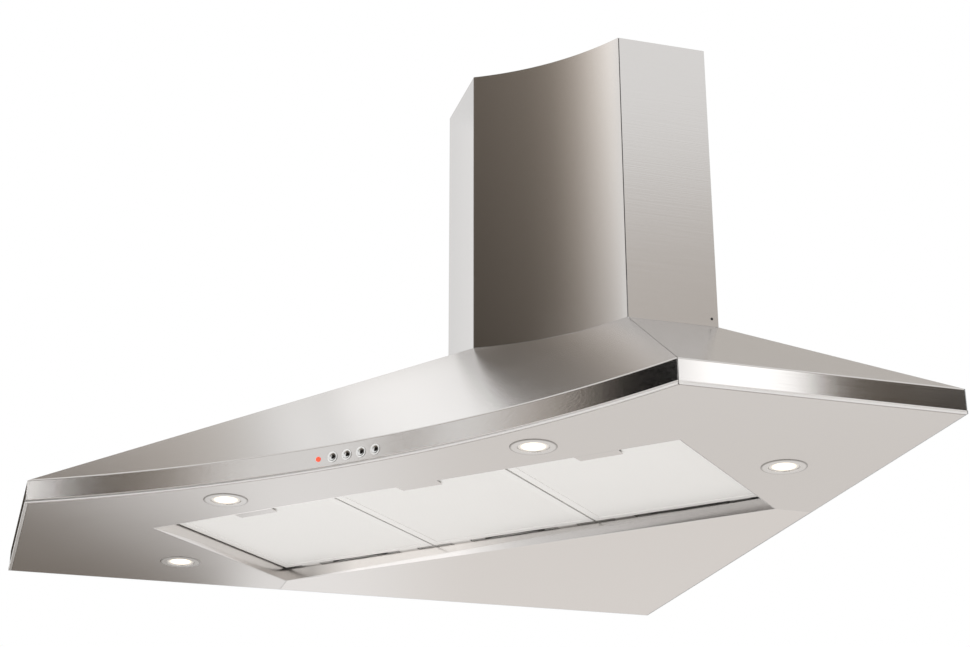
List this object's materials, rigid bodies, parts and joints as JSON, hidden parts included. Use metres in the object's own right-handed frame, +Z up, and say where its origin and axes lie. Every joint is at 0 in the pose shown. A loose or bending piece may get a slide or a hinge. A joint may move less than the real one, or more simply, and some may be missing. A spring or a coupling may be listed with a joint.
{
  "type": "corner range hood",
  "caption": "Corner range hood with concave stainless canopy and chimney, recessed lamps, swing-down grease filters, push buttons and an inner blower.",
  "frame": {"origin": "the corner line of the two walls, at the height of the underside", "axes": "+Z up the chimney; the walls are the planes x = 0 and y = 0, and the hood lies at x > 0 and y < 0"},
  "size_m": [1, 1, 0.8528],
  "materials": {
    "stainless_skin": "fine brushed",
    "stainless_panel": "satin brushed",
    "zinc_sheet": "zinc plated sheet",
    "lamp_chrome": "satin chrome",
    "lens_glass": "frosted, lit",
    "filter_aluminium": "clear anodised",
    "filter_mesh": "fine expanded mesh",
    "spring_steel": "blued",
    "button_chrome": "polished",
    "bezel_dark": "satin",
    "indicator_red": "clear red",
    "dark_plastic": "moulded",
    "light_plastic": "moulded",
    "motor_body": "enamel",
    "screw_steel": "zinc plated",
    "shaft_steel": "ground"
  },
  "bodies": {
    "hood": {"canopy_front_skin": "stainless_skin", "canopy_left_skin": "stainless_skin", "canopy_right_skin": "stainless_skin", "back_plate_left": "zinc_sheet", "back_plate_right": "zinc_sheet", "underside_panel": "stainless_panel", "underside_rear_panel": "stainless_panel", "filter_recess_frame": "stainless_panel", "canopy_top_plate": "zinc_sheet", "blower_scroll": "zinc_sheet", "blower_side_left": "zinc_sheet", "blower_side_right": "zinc_sheet", "motor": "motor_body", "motor_bracket": "zinc_sheet", "outlet_spigot": "dark_plastic", "damper_pin": "shaft_steel", "control_box": "dark_plastic", "button_bezels": "bezel_dark", "indicator_lens": "indicator_red", "junction_box": "light_plastic", "cable_gland": "dark_plastic", "capacitor": "light_plastic", "lamp_transformer": "light_plastic", "lamp_housings": "zinc_sheet", "chimney_lower": "stainless_skin", "chimney_bracket_lower": "zinc_sheet", "filter_leaf_springs": "spring_steel", "frame_nuts": "screw_steel", "blower_screws": "screw_steel", "chimney_screws": "screw_steel", "lamp_bezel_front_left": "lamp_chrome", "lamp_lens_front_left": "lens_glass", "lamp_bezel_front_right": "lamp_chrome", "lamp_lens_front_right": "lens_glass", "lamp_bezel_rear_left": "lamp_chrome", "lamp_lens_rear_left": "lens_glass", "lamp_bezel_rear_right": "lamp_chrome", "lamp_lens_rear_right": "lens_glass"},
    "chimney_top": {"chimney_upper": "stainless_skin", "chimney_bracket_upper": "zinc_sheet"},
    "fan": {"impeller": "dark_plastic", "motor_shaft": "shaft_steel"},
    "flap_front": {"damper_flap_front": "dark_plastic"},
    "flap_rear": {"damper_flap_rear": "dark_plastic"},
    "filter_left": {"filter_frame_left": "filter_aluminium", "filter_mesh_left": "filter_mesh"},
    "latch_left": {"filter_latch_left": "stainless_panel"},
    "filter_middle": {"filter_frame_middle": "filter_aluminium", "filter_mesh_middle": "filter_mesh"},
    "latch_middle": {"filter_latch_middle": "stainless_panel"},
    "filter_right": {"filter_frame_right": "filter_aluminium", "filter_mesh_right": "filter_mesh"},
    "latch_right": {"filter_latch_right": "stainless_panel"},
    "button_lamp_cap": {"button_lamp": "button_chrome"},
    "button_stop_cap": {"button_stop": "button_chrome"},
    "button_slow_cap": {"button_slow": "button_chrome"},
    "button_fast_cap": {"button_fast": "button_chrome"}
  },
  "joints": [
    {"name": "filter_left_drop", "type": "hinge", "parent": "hood", "child": "filter_left", "pos_m": [0.14954, -0.51092, 0.0183], "axis": [0.7071, 0.7071, 0], "range_deg": [0, 75]},
    {"name": "latch_left_pull", "type": "slide", "parent": "filter_left", "child": "latch_left", "axis": [-0.7071, 0.7071, 0], "range_m": [0, 0.006], "stiffness_N_per_m": 300},
    {"name": "filter_middle_drop", "type": "hinge", "parent": "hood", "child": "filter_middle", "pos_m": [0.33023, -0.33023, 0.0183], "axis": [0.7071, 0.7071, 0], "range_deg": [0, 75]},
    {"name": "latch_middle_pull", "type": "slide", "parent": "filter_middle", "child": "latch_middle", "axis": [-0.7071, 0.7071, 0], "range_m": [0, 0.006], "stiffness_N_per_m": 300},
    {"name": "filter_right_drop", "type": "hinge", "parent": "hood", "child": "filter_right", "pos_m": [0.51092, -0.14954, 0.0183], "axis": [0.7071, 0.7071, 0], "range_deg": [0, 75]},
    {"name": "latch_right_pull", "type": "slide", "parent": "filter_right", "child": "latch_right", "axis": [-0.7071, 0.7071, 0], "range_m": [0, 0.006], "stiffness_N_per_m": 300},
    {"name": "fan_spin", "type": "hinge", "parent": "hood", "child": "fan", "pos_m": [0.19073, -0.19073, 0.1958], "axis": [0.7071, 0.7071, 0], "continuous": true},
    {"name": "flap_front_swing", "type": "hinge", "parent": "hood", "child": "flap_front", "pos_m": [0.13081, -0.13081, 0.3864], "axis": [-0.7071, -0.7071, 0], "range_deg": [0, 80]},
    {"name": "flap_rear_swing", "type": "hinge", "parent": "hood", "child": "flap_rear", "pos_m": [0.13081, -0.13081, 0.3864], "axis": [0.7071, 0.7071, 0], "range_deg": [0, 80]},
    {"name": "button_lamp_press", "type": "slide", "parent": "hood", "child": "button_lamp_cap", "axis": [-0.7211, 0.6928, 0], "range_m": [0, 0.0025], "stiffness_N_per_m": 300},
    {"name": "button_stop_press", "type": "slide", "parent": "hood", "child": "button_stop_cap", "axis": [-0.7118, 0.7024, 0], "range_m": [0, 0.0025], "stiffness_N_per_m": 300},
    {"name": "button_slow_press", "type": "slide", "parent": "hood", "child": "button_slow_cap", "axis": [-0.7024, 0.7118, 0], "range_m": [0, 0.0025], "stiffness_N_per_m": 300},
    {"name": "button_fast_press", "type": "slide", "parent": "hood", "child": "button_fast_cap", "axis": [-0.6928, 0.7211, 0], "range_m": [0, 0.0025], "stiffness_N_per_m": 300},
    {"name": "chimney_telescope", "type": "slide", "parent": "hood", "child": "chimney_top", "axis": [0, 0, 1], "range_m": [0, 0.35]}
  ]
}
